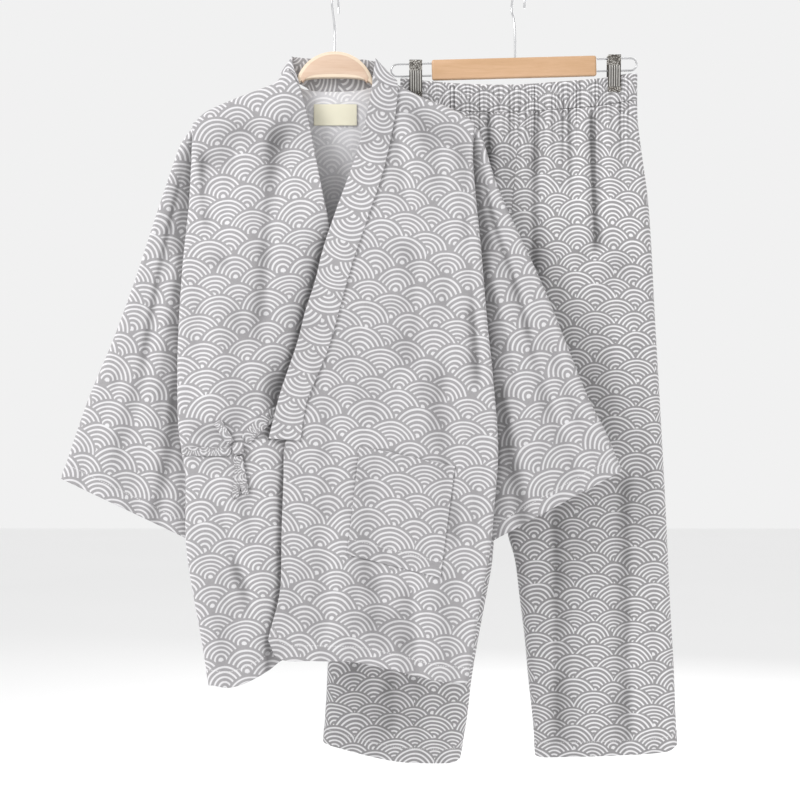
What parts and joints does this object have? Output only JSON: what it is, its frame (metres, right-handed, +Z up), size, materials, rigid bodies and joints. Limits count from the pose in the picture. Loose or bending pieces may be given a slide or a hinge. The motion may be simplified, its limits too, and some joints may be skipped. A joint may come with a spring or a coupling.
{
  "type": "kimono pyjama set on two hangers",
  "caption": "Wrap-front kimono pyjama jacket with wide sleeves and a side tie on a wooden hanger, and elastic-waist trousers on a clip hanger behind it.",
  "frame": {"origin": "where the jacket hanger's hook bears on the rail, at the inside top of its bow", "axes": "+Z up, +X to the right as the fronts are seen (the wearer's left), +Y to the back"},
  "size_m": [0.8185, 0.1753, 1.0359],
  "materials": {
    "print_light": "matte cotton gauze",
    "print_dark": "matte cotton gauze",
    "label": "woven tape",
    "pale_wood": "satin lacquer",
    "warm_wood": "satin lacquer",
    "steel": "polished"
  },
  "bodies": {
    "root": {"jacket_back": "print_light", "jacket_front_right": "print_light", "jacket_front_left": "print_light", "jacket_sleeve_right": "print_light", "jacket_sleeve_left": "print_light", "jacket_collar": "print_light", "jacket_pocket": "print_light", "tie_side": "print_light", "tie_front": "print_light", "tie_knot": "print_light", "tie_loop": "print_light", "tie_tail_long": "print_light", "tie_tail_short": "print_light", "trousers_waistband": "print_dark", "trousers_front_right": "print_dark", "trousers_front_left": "print_dark", "trousers_back_right": "print_dark", "trousers_back_left": "print_dark", "neck_label": "label", "jacket_hanger": "pale_wood", "trouser_bar": "warm_wood", "jacket_hook": "steel", "trouser_hook": "steel", "trouser_wire_right": "steel", "trouser_wire_left": "steel", "clip_right_front": "steel", "clip_right_back": "steel", "clip_right_spring": "steel", "clip_left_front": "steel", "clip_left_back": "steel", "clip_left_spring": "steel"}
  },
  "joints": []
}
